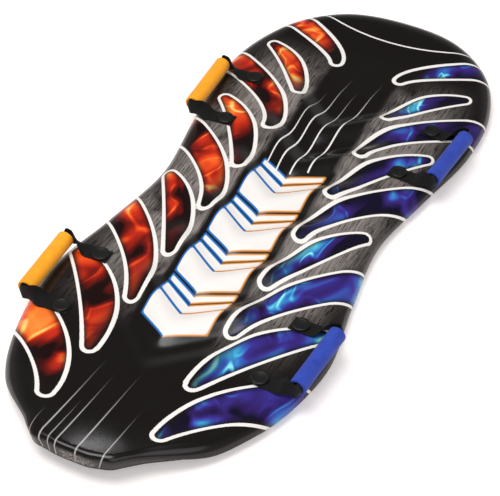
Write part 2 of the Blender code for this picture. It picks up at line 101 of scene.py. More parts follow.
# The studio is a white sweep under one large soft lamp nearly overhead, with a weaker one at
# the front.  A small lamp behind the nose, low over the board, shines a narrow beam on the
# nose's rise.  The flat deck mirrors a dark ceiling; the floor is white but for the shadow.
WHITE = (1.0, 1.0, 1.0)
FLOOR_SIZE = 14.0
FLOOR_DROP = 0.0003
FLOOR_COLOUR = (0.90, 0.83, 0.81)
FLOOR_GLOW = 0.30
KEY_PLACE = Vector((-0.5, -0.8, 3.4))
KEY_SIZE = 2.6
KEY_WATTS = 84.0
FILL_PLACE = Vector((2.4, -2.2, 2.6))
FILL_SIZE = 3.0
FILL_WATTS = 26.0
GLINT_AIM = Vector((0.024, -0.572, 0.050))
GLINT_AZIMUTH = math.radians(180 + 27.4)
GLINT_HEIGHT_ANGLE = math.radians(26.2)
GLINT_DISTANCE = 0.9
GLINT_SIZE = 0.055
GLINT_SPREAD = math.radians(4.4)
GLINT_WATTS = 0.00014
ROOM_LIGHT = 0.52
WALL_SHINE = 0.24
WALL_EDGE = 0.26
CEILING_SHINE = 0.05
CEILING_EDGE = 0.62


def lamp(name, aim, towards, size, watts, spread=math.pi):
    """A round lamp that stands off from its aim by a vector and shines back along it."""
    data = bpy.data.lights.new(name, "AREA")
    data.shape = "DISK"
    data.size = size
    data.spread = spread
    data.energy = watts
    made = bpy.data.objects.new(name, data)
    made.location = aim + towards
    made.rotation_euler = towards.to_track_quat("Z", "Y").to_euler()
    made.visible_camera = False
    bpy.context.scene.collection.objects.link(made)


class Reading:
    """A value that varies from place to place: a node's output, with arithmetic on it."""

    def __init__(self, output):
        self.output = output

    def node(self, kind):
        return self.output.id_data.nodes.new(kind)

    def __add__(self, other):
        return calculated("ADD", self, other)

    def __sub__(self, other):
        return calculated("SUBTRACT", self, other)

    def __rsub__(self, other):
        return calculated("SUBTRACT", other, self)

    def __mul__(self, other):
        return calculated("MULTIPLY", self, other)

    def __truediv__(self, other):
        return calculated("DIVIDE", self, other)

    def __neg__(self):
        return calculated("MULTIPLY", self, -1.0)

    def __abs__(self):
        return calculated("ABSOLUTE", self)


def feed(socket, value):
    """Give a socket a reading, a number or a colour."""
    if isinstance(value, Reading):
        socket.id_data.links.new(value.output, socket)
    elif isinstance(value, tuple):
        socket.default_value = (*value, 1.0)
    else:
        socket.default_value = value


def calculated(operation, *values):
    """A Math node on readings and numbers."""
    made = next(value for value in values if isinstance(value, Reading)).node("ShaderNodeMath")
    made.operation = operation
    for socket, value in zip(made.inputs, values):
        feed(socket, value)
    return Reading(made.outputs[0])


def fade(value, low, high):
    """Smooth step from 0 at low to 1 at high."""
    made = value.node("ShaderNodeMapRange")
    made.interpolation_type = "SMOOTHSTEP"
    feed(made.inputs["Value"], value)
    made.inputs["From Min"].default_value = low
    made.inputs["From Max"].default_value = high
    return Reading(made.outputs["Result"])


def new_material(name, values):
    """A material with the given values on its shader; returns it, its nodes and the shader."""
    made = bpy.data.materials.new(name)
    made.use_nodes = True
    shader = made.node_tree.nodes["Principled BSDF"]
    for socket, value in values.items():
        feed(shader.inputs[socket], value)
    return made, made.node_tree.nodes, shader


def studio_room():
    world = bpy.data.worlds.new("studio_room")
    bpy.context.scene.world = world
    world.use_nodes = True
    nodes = world.node_tree.nodes
    path = nodes.new("ShaderNodeLightPath")
    camera_ray, clear_ray, glossy_ray = (
        Reading(path.outputs["Is " + kind + " Ray"]) for kind in ("Camera", "Transmission", "Glossy")
    )
    heading = nodes.new("ShaderNodeSeparateXYZ")
    feed(heading.inputs[0], Reading(nodes.new("ShaderNodeTexCoord").outputs["Generated"]))
    overhead = fade(Reading(heading.outputs["Z"]), WALL_EDGE, CEILING_EDGE)
    mirrored = overhead * (CEILING_SHINE - WALL_SHINE) + WALL_SHINE
    light = (mirrored - ROOM_LIGHT) * glossy_ray + ROOM_LIGHT
    strength = light + (1.0 - light) * calculated("MAXIMUM", camera_ray, clear_ray)
    feed(nodes["Background"].inputs["Color"], WHITE)
    feed(nodes["Background"].inputs["Strength"], strength)


def studio_floor():
    """White floor that is lit by a plain glow for the camera, so only the shadow greys it."""
    bm = bmesh.new()
    bmesh.ops.create_grid(bm, x_segments=2, y_segments=2, size=FLOOR_SIZE / 2)
    mesh = bpy.data.meshes.new("studio_floor")
    bmesh.ops.translate(bm, verts=bm.verts, vec=(0, 0, -FLOOR_DROP))
    bm.to_mesh(mesh)
    bm.free()
    floor = bpy.data.objects.new("studio_floor", mesh)
    bpy.context.scene.collection.objects.link(floor)
    finish, nodes, shader = new_material("studio_floor_white", {
        "Base Color": FLOOR_COLOUR, "Roughness": 0.9, "Specular IOR Level": 0.2,
        "Emission Color": WHITE,
    })
    path = nodes.new("ShaderNodeLightPath")
    feed(shader.inputs["Emission Strength"], Reading(path.outputs["Is Camera Ray"]) * FLOOR_GLOW)
    mesh.materials.append(finish)


lamp("key_lamp", Vector(), KEY_PLACE, KEY_SIZE, KEY_WATTS)
lamp("fill_lamp", Vector(), FILL_PLACE, FILL_SIZE, FILL_WATTS)
lamp("glint_lamp", GLINT_AIM, direction(GLINT_AZIMUTH, GLINT_HEIGHT_ANGLE) * GLINT_DISTANCE,
     GLINT_SIZE, GLINT_WATTS, GLINT_SPREAD)
studio_room()
studio_floor()


# The board's form.  The deck skin, the core under it and the base sheet share one outline,
# one rise at each end and one set of moulded waves, so their surfaces are worked out here.
deck_low, deck_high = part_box("deck_skin")
BOARD_LENGTH = deck_high.y - deck_low.y
BOARD_WIDTH = deck_high.x - deck_low.x
HALF_LENGTH = BOARD_LENGTH / 2
HALF_WIDTH = BOARD_WIDTH / 2
DECK_HEIGHT = 0.038
SKIN_THICKNESS = 0.004
BASE_THICKNESS = 0.002
JOINT_GAP = 0.0003
RAIL_ROLL_WIDTH = 0.036
RAIL_ROLL_DEPTH = 0.024
NOSE_CREST_INSET = 0.018
NOSE_ROLL_DEPTH = 0.009
NOSE_ROLL_LENGTH = 0.130
WALL_TUCK = 0.009
NOSE_FLANK_FACING = 0.80
NOSE_FRONT_FACING = 0.99
NOSE_FLANK_LENGTH = 0.070
NOSE_FLANK_SHARE = 0.75
FLANK_TRIM = 0.009
FLANK_TRIM_START = 0.030
FLANK_TRIM_FULL = 0.090
FLANK_TRIM_LENGTH = 0.250
NOSE_CORNER_REACH = 0.8
NOSE_END_INSET = 0.008
NOSE_BOW = 0.080
NOSE_BOW_WIDTH = 0.160
NOSE_BOW_LENGTH = 0.165
NOSE_KICK = 0.018
NOSE_KICK_LENGTH = 0.175
NOSE_KICK_POWER = 2.4
NOSE_EASE = 0.45
NOSE_EASE_SHARE = 0.917
NOSE_BASE_RISE = 0.031
NOSE_BASE_LENGTH = 0.205
TAIL_KICK = 0.006
TAIL_KICK_LENGTH = 0.150
TAIL_BASE_RISE = 0.012
TAIL_BASE_LENGTH = 0.140
BASE_RISE_POWER = 1.15
WAVE_PITCH = 0.107
WAVE_COUNT = 6
WAVE_HEIGHT = 0.0065
WAVE_AFT = 0.2865
WAVE_REACH = 0.150
WAVE_POINT_RADIUS = 0.012
WAVE_HALF_WIDTH = 0.085
WAVE_FADE = 0.040

# Half of the outline from nose to tail, in shares of the half width and the half length
outline_shares = [
    (0.0, -1.0), (0.132, -0.998), (0.239, -0.986), (0.334, -0.957), (0.425, -0.921),
    (0.520, -0.891), (0.623, -0.858), (0.713, -0.822), (0.784, -0.780), (0.850, -0.723),
    (0.940, -0.602), (1.0, -0.440), (0.903, -0.197), (0.823, 0.045), (0.908, 0.270),
    (1.0, 0.507), (0.965, 0.699), (0.816, 0.846), (0.450, 0.969), (0.0, 1.0),
]
LAST_KNOT = len(outline_shares) - 1
NOSE_CORNER_KNOT = 4.6
TAIL_CORNER_KNOT = 17.85
KNOT_STEP = 0.001
HALVINGS = 30


def smoothstep(low, high, value):
    share = min(max((value - low) / (high - low), 0.0), 1.0)
    return share * share * (3 - 2 * share)


def outline_point(t):
    """Point of the left half of the outline, t counted in knots from the nose."""
    low = min(int(t), LAST_KNOT - 1)
    share = t - low

    def knot(i):
        mirrored = i < 0 or i > LAST_KNOT
        x, y = outline_shares[-i if i < 0 else 2 * LAST_KNOT - i if mirrored else i]
        return Vector(((-x if mirrored else x) * HALF_WIDTH, y * HALF_LENGTH))

    before, start, end, after = (knot(low + i) for i in (-1, 0, 1, 2))
    span = (end - start).length

    def slope(left, middle, right):
        reach = (middle - left).length
        ahead = (right - middle).length
        leaving = (middle - left) / reach * ahead + (right - middle) / ahead * reach
        return leaving / (reach + ahead) * span

    leave = slope(before, start, end)
    arrive = slope(start, end, after)
    square = share * share
    cube = square * share
    return (start * (2 * cube - 3 * square + 1) + leave * (cube - 2 * square + share)
            + end * (3 * square - 2 * cube) + arrive * (cube - square))


def outward(t):
    """Unit normal of the outline, pointing away from the board; it turns gently at the nose."""
    start = -HALF_LENGTH + NOSE_ROLL_LENGTH
    nose = smoothstep(start, -HALF_LENGTH + NOSE_FLANK_LENGTH, outline_point(t).y)
    reach = KNOT_STEP + NOSE_CORNER_REACH * nose
    ahead = outline_point(min(t + reach, LAST_KNOT))
    behind = outline_point(abs(t - reach))
    if t < reach:
        behind.x = -behind.x
    tangent = (ahead - behind).normalized()
    return Vector((tangent.y, -tangent.x))


def nose_front(t):
    """1 where the outline faces forwards, 0 on the flanks of the nose and along the rails."""
    return smoothstep(NOSE_FLANK_FACING, NOSE_FRONT_FACING, -outward(t).y)


def foot_inset(t):
    """How far in from the outline the skin meets the base: the nose's flanks stand upright."""
    start = -HALF_LENGTH + NOSE_ROLL_LENGTH
    share = smoothstep(start, -HALF_LENGTH + NOSE_FLANK_LENGTH, outline_point(t).y)
    return WALL_TUCK * (1 - NOSE_FLANK_SHARE * share * (1 - nose_front(t)))


def flank_trim(t, side):
    """How much further in the nose's left flank is trimmed than its right one."""
    edge = outline_point(t)
    end = -HALF_LENGTH + FLANK_TRIM_LENGTH
    along = smoothstep(end, end - FLANK_TRIM_LENGTH / 2, edge.y)
    return FLANK_TRIM * smoothstep(FLANK_TRIM_START, FLANK_TRIM_FULL, edge.x) * along * (side > 0)


def roll_size(t):
    """How far in and down the deck rolls over, and how far in its widest place lies.

    The nose rolls tightly over an upright wall, so a plain edge runs round it.
    """
    start = -HALF_LENGTH + NOSE_ROLL_LENGTH
    share = smoothstep(start, -HALF_LENGTH + NOSE_END_INSET, outline_point(t).y)
    tuck = WALL_TUCK * share * nose_front(t)
    width = RAIL_ROLL_WIDTH + (NOSE_CREST_INSET - tuck - RAIL_ROLL_WIDTH) * share
    depth = RAIL_ROLL_DEPTH + (NOSE_ROLL_DEPTH - RAIL_ROLL_DEPTH) * share
    return width, depth, tuck


def inner_point(t):
    width, _, tuck = roll_size(t)
    return outline_point(t) - outward(t) * (width + tuck)


def arm(x):
    """How far a chevron's arm has run aft at a place across the deck."""
    reach = math.hypot(x, WAVE_POINT_RADIUS) - WAVE_POINT_RADIUS
    return WAVE_REACH * math.tanh(reach / WAVE_REACH)


def wave(x, y):
    along = y - arm(x)
    last_trough = WAVE_AFT - WAVE_PITCH * WAVE_COUNT
    half_pitch = WAVE_PITCH / 2
    across = 1 - smoothstep(WAVE_HALF_WIDTH, WAVE_HALF_WIDTH + WAVE_FADE, abs(x))
    beyond = max(along - WAVE_AFT, last_trough - along)
    if beyond >= half_pitch:
        return 0.0
    if beyond > 0:
        return -WAVE_HEIGHT * across * (1 + math.cos(math.pi * beyond / half_pitch)) / 2
    return -WAVE_HEIGHT * across * math.cos(2 * math.pi * (along - WAVE_AFT) / WAVE_PITCH)


def nose_run(x, y):
    """How far towards the nose a place counts, so that the rise follows the curved front."""
    bow = NOSE_BOW * x * x / (x * x + NOSE_BOW_WIDTH ** 2)
    start = -HALF_LENGTH + NOSE_BOW_LENGTH
    return -y + bow * smoothstep(start, start - NOSE_BOW_LENGTH / 2, y)


def deck_height(x, y):
    nose_end = -HALF_LENGTH + NOSE_END_INSET
    nose_start = -HALF_LENGTH + NOSE_KICK_LENGTH
    into_nose = max(nose_start + nose_run(x, y), 0.0) / (nose_start - nose_end)
    ease = NOSE_EASE * max(into_nose - NOSE_EASE_SHARE, 0.0) ** 2
    nose = NOSE_KICK * into_nose ** NOSE_KICK_POWER - ease
    tail = smoothstep(HALF_LENGTH - TAIL_KICK_LENGTH, HALF_LENGTH - RAIL_ROLL_WIDTH, y)
    return DECK_HEIGHT + nose + TAIL_KICK * tail + wave(x, y)


def base_height(x, y):
    into_nose = max(nose_run(x, y) - (HALF_LENGTH - NOSE_BASE_LENGTH), 0.0) / NOSE_BASE_LENGTH
    into_tail = max(y - (HALF_LENGTH - TAIL_BASE_LENGTH), 0.0) / TAIL_BASE_LENGTH
    nose = NOSE_BASE_RISE * into_nose ** BASE_RISE_POWER
    return nose + TAIL_BASE_RISE * into_tail ** BASE_RISE_POWER


def find(function, low, high, target):
    """Value between low and high where a steady function meets the target."""
    rising = function(high) > function(low)
    for _ in range(HALVINGS):
        middle = (low + high) / 2
        if (function(middle) < target) == rising:
            low = middle
        else:
            high = middle
    return (low + high) / 2


# The deck skin is a sheet of soft foam with a printed film on it, pressed over the core with
# its chevron waves and rolled down over the rails to the base, where it is welded on.
ROWS_PER_WAVE = 28
NOSE_ROWS = 48
TAIL_ROWS = 42
COLUMNS_PER_HALF = 58
ROLL_STEPS = 9
BORE_RADIUS = 0.0053
BORE_SIDES = 32
WORKING_LAYERS = ("place", "side", "print_x", "print_y")


def row_places():
    """Outline place and chevron share of each row, from the nose end to the tail end."""
    def start_of_row(t):
        point = inner_point(t)
        return point.y - arm(point.x)

    foremost = WAVE_AFT - WAVE_PITCH * (WAVE_COUNT + 0.5)
    rows = []
    for i in range((WAVE_COUNT + 1) * ROWS_PER_WAVE + 1):
        middle = foremost + WAVE_PITCH * i / ROWS_PER_WAVE
        rows.append(find(start_of_row, NOSE_CORNER_KNOT, TAIL_CORNER_KNOT, middle))
    placed = []
    for i in range(NOSE_ROWS):
        share = i / NOSE_ROWS
        placed.append((NOSE_CORNER_KNOT + (rows[0] - NOSE_CORNER_KNOT) * share, share))
    placed += [(t, 1.0) for t in rows]
    for i in range(1, TAIL_ROWS + 1):
        share = i / TAIL_ROWS
        placed.append((rows[-1] + (TAIL_CORNER_KNOT - rows[-1]) * share, 1.0 - share))
    return placed


ROWS = row_places()
ROW_COUNT = len(ROWS) - 1
COLUMN_COUNT = 2 * COLUMNS_PER_HALF
BORDERS = [inner_point(t) for t, _ in ROWS]


def end_places(low, high, corner):
    """Outline places at one end of the board, one for each column."""
    reach = inner_point(corner).x
    shares = [i / COLUMNS_PER_HALF for i in range(COLUMNS_PER_HALF + 1)]
    return [find(lambda t: inner_point(t).x, low, high, share * reach) for share in shares]


NOSE_PLACES = end_places(0.0, NOSE_CORNER_KNOT, NOSE_CORNER_KNOT)
TAIL_PLACES = end_places(TAIL_CORNER_KNOT, LAST_KNOT, TAIL_CORNER_KNOT)
NOSE_BULGES = [inner_point(t).y - inner_point(NOSE_CORNER_KNOT).y for t in NOSE_PLACES]
TAIL_BULGES = [inner_point(t).y - inner_point(TAIL_CORNER_KNOT).y for t in TAIL_PLACES]


def grid_place(row, column):
    """Side, plan point and, on the border, outline place of a deck vertex."""
    step = column - COLUMNS_PER_HALF
    side = -1 if step < 0 else 1
    t, chevron = ROWS[row]
    border = BORDERS[row]
    x = abs(step) / COLUMNS_PER_HALF * border.x
    nose = row < ROW_COUNT // 2
    bulge = (NOSE_BULGES if nose else TAIL_BULGES)[abs(step)]
    y = border.y + chevron * (arm(x) - arm(border.x)) + (1 - chevron) * bulge
    if abs(step) == COLUMNS_PER_HALF:
        return side, x, border.y, t
    if row in (0, ROW_COUNT):
        return side, x, y, (NOSE_PLACES if nose else TAIL_PLACES)[abs(step)]
    return side, x, y, None


def section(t, side, inset):
    """Places down the rail at an outline place, each with how far the print has run over."""
    width, depth, tuck = roll_size(t)
    trim = flank_trim(t, side)
    start = inner_point(t)
    top = deck_height(start.x, start.y)
    edge = outline_point(t)
    normal = outward(t)
    places = []
    for i in range(1, ROLL_STEPS + 1):
        turn = math.pi / 2 * i / ROLL_STEPS
        offset = (width - inset) * math.sin(turn) - width - tuck
        place = edge + normal * (offset - trim * math.sin(turn))
        height = top - depth + (depth - inset) * math.cos(turn)
        places.append(Vector((place.x, place.y, height)))
    foot = edge - normal * (foot_inset(t) + trim + inset)
    rim = base_height(foot.x, foot.y) + BASE_THICKNESS + JOINT_GAP
    last = places[-1]
    places.append(last.lerp(Vector((foot.x, foot.y, rim)), 0.5))
    places.append(Vector((foot.x, foot.y, rim)))
    run = 0.0
    before = Vector((start.x, start.y, top - inset))
    printed = []
    for place in places:
        run += (place - before).length
        before = place
        printed.append(start + normal * run)
    return list(zip(places, printed))


def deck_sheet(bm, inset):
    """Deck grid and rolled rails as one open sheet; returns its lower border."""
    layers = bm.verts.layers.float
    place_layer, side_layer, print_x, print_y = (
        layers.get(name) or layers.new(name) for name in WORKING_LAYERS
    )
    made = bmesh.ops.create_grid(bm, x_segments=COLUMN_COUNT, y_segments=ROW_COUNT, size=0.5)
    border = set()
    for vert in made["verts"]:
        column = round((vert.co.x + 0.5) * COLUMN_COUNT)
        row = round((vert.co.y + 0.5) * ROW_COUNT)
        side, x, y, t = grid_place(row, column)
        vert.co = Vector((side * x, y, deck_height(x, y) - inset))
        vert[side_layer] = side
        vert[print_x] = side * x
        vert[print_y] = y
        if t is not None:
            vert[place_layer] = t
            border.add(vert)
    edges = [edge for edge in bm.edges if edge.is_boundary and edge.verts[0] in border]
    sections = {}
    for ring in range(ROLL_STEPS + 2):
        grown = bmesh.ops.extrude_edge_only(bm, edges=edges)["geom"]
        edges = [item for item in grown if isinstance(item, bmesh.types.BMEdge)]
        for vert in (item for item in grown if isinstance(item, bmesh.types.BMVert)):
            t, side = vert[place_layer], vert[side_layer]
            if (t, side) not in sections:
                sections[t, side] = section(t, side, inset)
            place, printed = sections[t, side][ring]
            vert.co = Vector((side * place.x, place.y, place.z))
            vert[print_x] = side * printed.x
            vert[print_y] = printed.y
    return edges


def finished(bm, name, smooth_angle=math.radians(50)):
    """Turn a bmesh into a named object at the origin with outward faces."""
    bmesh.ops.recalc_face_normals(bm, faces=bm.faces)
    mesh = bpy.data.meshes.new(name)
    bm.to_mesh(mesh)
    bm.free()
    mesh.shade_smooth()
    mesh.set_sharp_from_angle(angle=smooth_angle)
    made = bpy.data.objects.new(name, mesh)
    bpy.context.scene.collection.objects.link(made)
    return made


def bored(piece, cutter):
    """Cut holes and keep the result as the piece's own mesh."""
    modifier = piece.modifiers.new("bores", "BOOLEAN")
    modifier.solver = "EXACT"
    modifier.object = cutter
    bpy.context.view_layer.update()
    whole = piece.evaluated_get(bpy.context.evaluated_depsgraph_get())
    cut_mesh = bpy.data.meshes.new_from_object(whole)
    piece.modifiers.clear()
    piece.data = cut_mesh
    bpy.data.objects.remove(cutter, do_unlink=True)


def handle_names():
    return [end + "_" + side for end in ("front", "rear") for side in ("left", "right")]


def plug_places():
    """Middle of each plug, keyed by the handle's name and the plug's end."""
    places = {}
    for name in handle_names():
        for end in ("fore", "aft"):
            low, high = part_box(name + "_plug_" + end)
            places[name, end] = (low + high) / 2
    return places


PLUG_PLACES = plug_places()


def bore_pins(radius, low, high):
    """Round pins at the plug places, as one object that cuts the bores."""
    bm = bmesh.new()
    for place in PLUG_PLACES.values():
        at = Matrix.Translation((place.x, place.y, (low + high) / 2))
        bmesh.ops.create_cone(bm, cap_ends=True, segments=BORE_SIDES, radius1=radius,
                              radius2=radius, depth=high - low, matrix=at)
    return finished(bm, "bore_pins")


bm = bmesh.new()
outer_rim = deck_sheet(bm, 0.0)
inner_rim = deck_sheet(bm, SKIN_THICKNESS)
bmesh.ops.bridge_loops(bm, edges=outer_rim + inner_rim)
deck = finished(bm, "printed_deck")


def take_print_places(piece):
    """Read each vertex's place in the flat print and clear the mesh's working layers."""
    mesh = piece.data
    places = KDTree(len(mesh.vertices))
    for vert in mesh.vertices:
        places.insert(vert.co, vert.index)
    places.balance()
    x, y = np.zeros(len(mesh.vertices)), np.zeros(len(mesh.vertices))
    mesh.attributes["print_x"].data.foreach_get("value", x)
    mesh.attributes["print_y"].data.foreach_get("value", y)
    for name in WORKING_LAYERS:
        mesh.attributes.remove(mesh.attributes[name])
    return places, x, y


flat_print = take_print_places(deck)
bored(deck, bore_pins(BORE_RADIUS, DECK_HEIGHT / 2, DECK_HEIGHT * 2))

# The print: swept blades along both sides, marks down the middle and fine lines at the ends.
# A blade is a curved lens through three places of (x, y, half width), on the riders' left.
blades = [
    [(0.096, -0.506, 0.013), (0.158, -0.410, 0.033), (0.285, -0.340, 0.037)],
    [(0.088, -0.394, 0.013), (0.134, -0.293, 0.029), (0.214, -0.218, 0.015)],
    [(0.088, -0.268, 0.012), (0.144, -0.155, 0.029), (0.272, -0.050, 0.034)],
    [(0.086, -0.150, 0.012), (0.124, -0.053, 0.024), (0.178, 0.014, 0.012)],
    [(0.086, -0.030, 0.012), (0.136, 0.077, 0.027), (0.270, 0.168, 0.032)],
    [(0.086, 0.088, 0.012), (0.128, 0.181, 0.023), (0.190, 0.240, 0.012)],
    [(0.086, 0.204, 0.012), (0.136, 0.293, 0.025), (0.282, 0.370, 0.031)],
    [(0.086, 0.316, 0.011), (0.128, 0.382, 0.020), (0.186, 0.424, 0.011)],
    [(0.062, 0.426, 0.011), (0.118, 0.480, 0.020), (0.256, 0.544, 0.025)],
]
BLADE_STEPS = 24
MARK_PITCH = 0.107
MARK_COUNT = 4
MARK_START = -0.300
MARK_REACH = 0.055
MARK_SLOPE = 0.62
MARK_ROUNDING = 0.006
mark_bars = [(0.0, 0.0225), (0.0425, 0.0080), (0.0655, 0.0040)]

# Fine lines of (x, from y, to y, half width, strength), fading towards their second end
fine_lines = [
    (-0.067, -0.640, -0.530, 0.0010, 0.40), (-0.046, -0.640, -0.398, 0.0012, 0.46),
    (-0.031, -0.640, -0.488, 0.0010, 0.38), (-0.018, -0.640, -0.422, 0.0011, 0.46),
    (0.016, -0.640, -0.402, 0.0012, 0.44), (0.057, -0.640, -0.473, 0.0011, 0.42),
    (-0.040, 0.122, 0.350, 0.0013, 1.0), (-0.017, 0.106, 0.400, 0.0015, 1.0),
    (0.010, 0.102, 0.365, 0.0013, 1.0), (0.036, 0.119, 0.410, 0.0014, 1.0),
]
LINE_FADE_SHARE = 0.35
LINE_BOW = 0.010
LINE_BOW_RATE = 9.0
TAIL_LINE_PLACE = 0.520
TAIL_LINE_BEND = 1.5
TAIL_LINE_HALF_WIDTH = 0.0017
EDGE_SOFTNESS = 0.0004
FAR = 1.0


def capsule_distance(x, y, start, end):
    """Distance to a lens that tapers between two places of (x, y, half width)."""
    (x0, y0, r0), (x1, y1, r1) = start, end
    dx, dy = x1 - x0, y1 - y0
    share = ((x - x0) * dx + (y - y0) * dy) / (dx * dx + dy * dy)
    share = np.clip(share, 0.0, 1.0)
    return np.hypot(x - x0 - share * dx, y - y0 - share * dy) - (r0 + share * (r1 - r0))


def curve_point(places, share):
    """Place on the parabola that meets three places at its start, half way and its end."""
    first, middle, last = (np.array(place) for place in places)
    control = 2 * middle - (first + last) / 2
    rest = 1 - share
    return rest * rest * first + 2 * rest * share * control + share * share * last


def blade_distance(x, y):
    nearest = np.full(len(x), FAR)
    for blade in blades:
        chain = [curve_point(blade, i / BLADE_STEPS) for i in range(BLADE_STEPS + 1)]
        for start, end in zip(chain, chain[1:]):
            nearest = np.minimum(nearest, capsule_distance(np.abs(x), y, start, end))
    return nearest


def print_attributes(piece, places, flat_x, flat_y):
    """Give each vertex its place in the flat print and its distance to the nearest blade."""
    mesh = piece.data
    x, y = np.zeros(len(mesh.vertices)), np.zeros(len(mesh.vertices))
    for vert in mesh.vertices:
        _, index, distance = places.find(vert.co)
        kept = distance < JOINT_GAP / 10
        x[vert.index] = flat_x[index] if kept else vert.co.x
        y[vert.index] = flat_y[index] if kept else vert.co.y
    for name, values in (("print_x", x), ("print_y", y), ("blade_edge", blade_distance(x, y))):
        layer = mesh.attributes.new(name, "FLOAT", "POINT")
        layer.data.foreach_set("value", values.astype(np.float32))


print_attributes(deck, *flat_print)


def grey(level):
    return level, level, level


def attribute(nodes, name):
    made = nodes.new("ShaderNodeAttribute")
    made.attribute_name = name
    return Reading(made.outputs["Fac"])


def object_place(nodes):
    return Reading(nodes.new("ShaderNodeTexCoord").outputs["Object"])


def ramp(value, stops):
    """Colour ramp through stops of (place, colour)."""
    made = value.node("ShaderNodeValToRGB")
    elements = made.color_ramp.elements
    while len(elements) < len(stops):
        elements.new(0.5)
    for element, (place, colour) in zip(elements, stops):
        element.position = place
        element.color = (*colour, 1.0)
    feed(made.inputs["Fac"], value)
    return Reading(made.outputs["Color"])


def mix(share, below, above, blend_type="MIX"):
    """Lay one colour over another by a share; each is a reading or a plain value."""
    readings = [value for value in (share, below, above) if isinstance(value, Reading)]
    made = readings[0].node("ShaderNodeMix")
    made.data_type = "RGBA"
    made.blend_type = blend_type
    for socket, value in ((made.inputs[0], share), (made.inputs[6], below), (made.inputs[7], above)):
        feed(socket, value)
    return Reading(made.outputs[2])


def flat_place(x, y, rates=None):
    """Place in the print as a vector, scaled by a rate each way where rates are given."""
    made = x.node("ShaderNodeCombineXYZ")
    if rates:
        x, y = x * rates[0], y * rates[1]
    feed(made.inputs["X"], x)
    feed(made.inputs["Y"], y)
    return Reading(made.outputs[0])


def noise(place, scale, detail=3.0, roughness=0.5, distortion=0.0):
    made = place.node("ShaderNodeTexNoise")
    feed(made.inputs["Vector"], place)
    made.inputs["Scale"].default_value = scale
    made.inputs["Detail"].default_value = detail
    made.inputs["Roughness"].default_value = roughness
    made.inputs["Distortion"].default_value = distortion
    return Reading(made.outputs["Fac"])


def bump(shader, height, distance, strength):
    made = height.node("ShaderNodeBump")
    made.inputs["Distance"].default_value = distance
    made.inputs["Strength"].default_value = strength
    feed(made.inputs["Height"], height)
    feed(shader.inputs["Normal"], Reading(made.outputs["Normal"]))


def inside(distance):
    """1 where the distance to an edge is below zero, with a soft step."""
    return fade(distance, EDGE_SOFTNESS, -EDGE_SOFTNESS)


def mark_distance(x, y):
    """Distance to the bars down the middle, each a blunt arrowhead pointing to the nose."""
    reach = abs(x)
    along = y - (calculated("MINIMUM", reach, MARK_REACH) * MARK_SLOPE + MARK_START)
    lean = math.cos(math.atan(MARK_SLOPE))
    nearest = None
    for place, half in mark_bars:
        turn = calculated("ROUND", (along - place) / MARK_PITCH)
        turn = calculated("MINIMUM", calculated("MAXIMUM", turn, 0.0), MARK_COUNT - 1.0)
        off = abs(along - place - turn * MARK_PITCH) * lean - half
        edge = calculated("SMOOTH_MAX", off, reach - MARK_REACH, min(MARK_ROUNDING, half))
        nearest = edge if nearest is None else calculated("MINIMUM", nearest, edge)
    return nearest


def fine_line_share(x, y):
    """Strength of the fine lines at a place of the print."""
    total = inside(abs(y - x * x * TAIL_LINE_BEND - TAIL_LINE_PLACE) - TAIL_LINE_HALF_WIDTH)
    bowed = x + calculated("SINE", y * LINE_BOW_RATE) * LINE_BOW
    for line, start, end, half, strength in fine_lines:
        run = fade(y, end, start + (end - start) * LINE_FADE_SHARE)
        drawn = inside(abs(bowed - line) - (run + 1.0) * (half / 2))
        shown = drawn * run * strength * calculated("GREATER_THAN", y, start)
        total = calculated("MAXIMUM", total, shown)
    return total


CHARCOAL = (0.0085, 0.0066, 0.0062)
LINE_WHITE = (0.86, 0.82, 0.785)
LINE_HALF_WIDTH = 0.0036
LINE_SLIMMING = 0.0010
LINE_SLIMMING_REACH = (0.09, 0.16)
SEAM_SOFTNESS = 0.001
NOISE_MIDDLE = 0.5

# The fills are clouds bent by a slow swirl, with bright wisps of (scale, distortion, width)
FILL_RATES = (1.4, 0.9)
SWIRL_BEND = 0.14
CLOUD_CONTRAST = 1.8
CLOUD_LEVEL = 0.45
wisp_sets = [(9.5, 0.3, 0.042), (16.0, 0.5, 0.050)]
WISP_GLOW = 0.27
WISP_CLOUD = (0.42, 0.60)
WISP_SWIRL = (0.47, 0.66)
FILL_DEPTH = (0.001, 0.0145)
FILL_REACH = (0.078, 0.122)
FIRE_STOPS = [
    (0.30, (0.012, 0.003, 0.003)), (0.41, (0.160, 0.007, 0.004)), (0.53, (0.560, 0.024, 0.006)),
    (0.66, (0.900, 0.095, 0.013)), (0.80, (1.0, 0.32, 0.045)), (0.93, (1.0, 0.64, 0.20)),
]
ICE_STOPS = [
    (0.30, (0.006, 0.004, 0.020)), (0.41, (0.030, 0.013, 0.125)), (0.53, (0.042, 0.030, 0.280)),
    (0.66, (0.035, 0.135, 0.500)), (0.80, (0.060, 0.470, 0.670)), (0.93, (0.340, 0.830, 0.890)),
]


